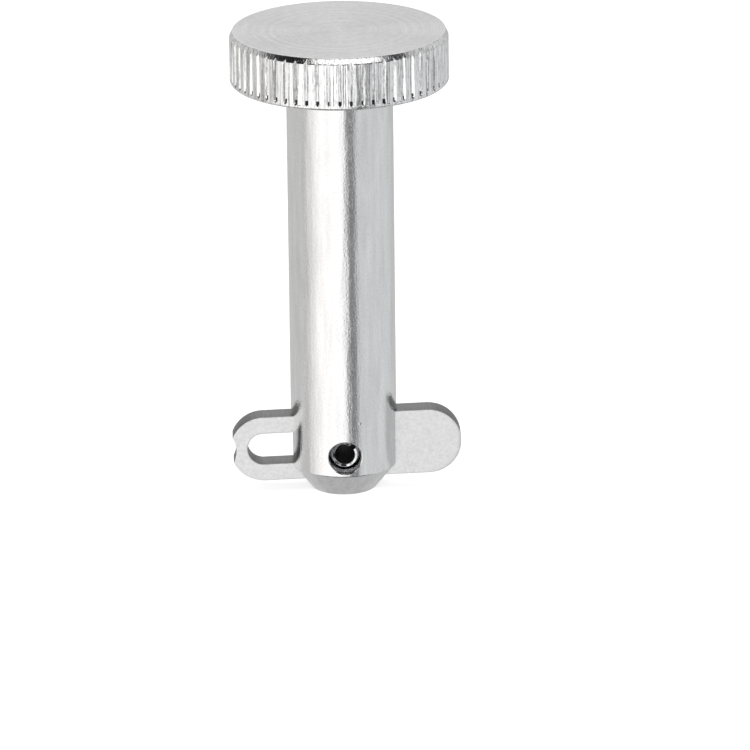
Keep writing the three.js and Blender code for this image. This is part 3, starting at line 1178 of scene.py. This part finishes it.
# ---------------------------------------------------------------- operators and panel


class TOGGLEPIN_OT_body(bpy.types.Operator):
    """Turn, knurl, bore and saw the pin's body"""

    bl_idname = "toggle_pin.body"
    bl_label = "Turned body"

    def execute(self, context):
        scene = context.scene
        body = turned_body(scene.pin_body_sizes, scene.pin_colours)
        stand_for(body, "pin_body", "pin_body")
        return {"FINISHED"}


class TOGGLEPIN_OT_blade(bpy.types.Operator):
    """Stamp the slotted and notched blade"""

    bl_idname = "toggle_pin.blade"
    bl_label = "Stamped blade"

    def execute(self, context):
        scene = context.scene
        blade = stamped_blade(scene.pin_blade_sizes, scene.pin_colours)
        stand_for(blade, "swing_blade", "blade")
        return {"FINISHED"}


class TOGGLEPIN_OT_cross_pin(bpy.types.Operator):
    """Roll the slit cross pin"""

    bl_idname = "toggle_pin.cross_pin"
    bl_label = "Rolled cross pin"

    def execute(self, context):
        scene = context.scene
        pin = rolled_cross_pin(scene.pin_cross_sizes, scene.pin_colours)
        stand_for(pin, "cross_pin", "cross_pin")
        return {"FINISHED"}


class TOGGLEPIN_OT_detent(bpy.types.Operator):
    """Put in the detent ball and the spring behind it"""

    bl_idname = "toggle_pin.detent"
    bl_label = "Detent ball and spring"

    def execute(self, context):
        scene = context.scene
        ball = detent_ball(scene.pin_colours)
        stand_for(ball, "detent_ball", "ball")
        spring = coil_spring(scene.pin_spring_sizes, scene.pin_colours)
        stand_for(spring, "detent_spring", "pin_body")
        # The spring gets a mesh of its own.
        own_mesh(spring)
        return {"FINISHED"}


class TOGGLEPIN_OT_stage(bpy.types.Operator):
    """Set up the floor, the light and the camera"""

    bl_idname = "toggle_pin.stage"
    bl_label = "Floor, light and camera"

    def execute(self, context):
        context.scene.view_settings.view_transform = "Standard"
        pale_floor(context.scene.pin_colours)
        studio_light()
        camera()
        return {"FINISHED"}


class TOGGLEPIN_PT_panel(bpy.types.Panel):
    """Lists the pin's pieces and colours in the sidebar."""

    bl_idname = "TOGGLEPIN_PT_panel"
    bl_label = "Toggle pin"
    bl_space_type = "VIEW_3D"
    bl_region_type = "UI"
    bl_category = "Toggle pin"

    def draw(self, context):
        for operator in OPERATORS:
            self.layout.operator(operator.bl_idname)
        for group in SETTINGS:
            settings = getattr(context.scene, group)
            for name in settings.__annotations__:
                self.layout.prop(settings, name)


SETTINGS = {
    "pin_body_sizes": BodySizes,
    "pin_blade_sizes": BladeSizes,
    "pin_cross_sizes": CrossPinSizes,
    "pin_spring_sizes": SpringSizes,
    "pin_colours": FinishColours,
}
OPERATORS = (
    TOGGLEPIN_OT_stage,
    TOGGLEPIN_OT_body,
    TOGGLEPIN_OT_blade,
    TOGGLEPIN_OT_cross_pin,
    TOGGLEPIN_OT_detent,
)


def register():
    for group in SETTINGS.values():
        bpy.utils.register_class(group)
    for name, group in SETTINGS.items():
        setattr(bpy.types.Scene, name, bpy.props.PointerProperty(type=group))
    for operator in OPERATORS:
        bpy.utils.register_class(operator)
    bpy.utils.register_class(TOGGLEPIN_PT_panel)


def unregister():
    bpy.utils.unregister_class(TOGGLEPIN_PT_panel)
    for operator in reversed(OPERATORS):
        bpy.utils.unregister_class(operator)
    for name in SETTINGS:
        delattr(bpy.types.Scene, name)
    for group in reversed(SETTINGS.values()):
        bpy.utils.unregister_class(group)


def main():
    register()
    bpy.ops.toggle_pin.stage()
    bpy.ops.toggle_pin.body()
    bpy.ops.toggle_pin.blade()
    bpy.ops.toggle_pin.cross_pin()
    bpy.ops.toggle_pin.detent()


if __name__ == "__main__":
    main()
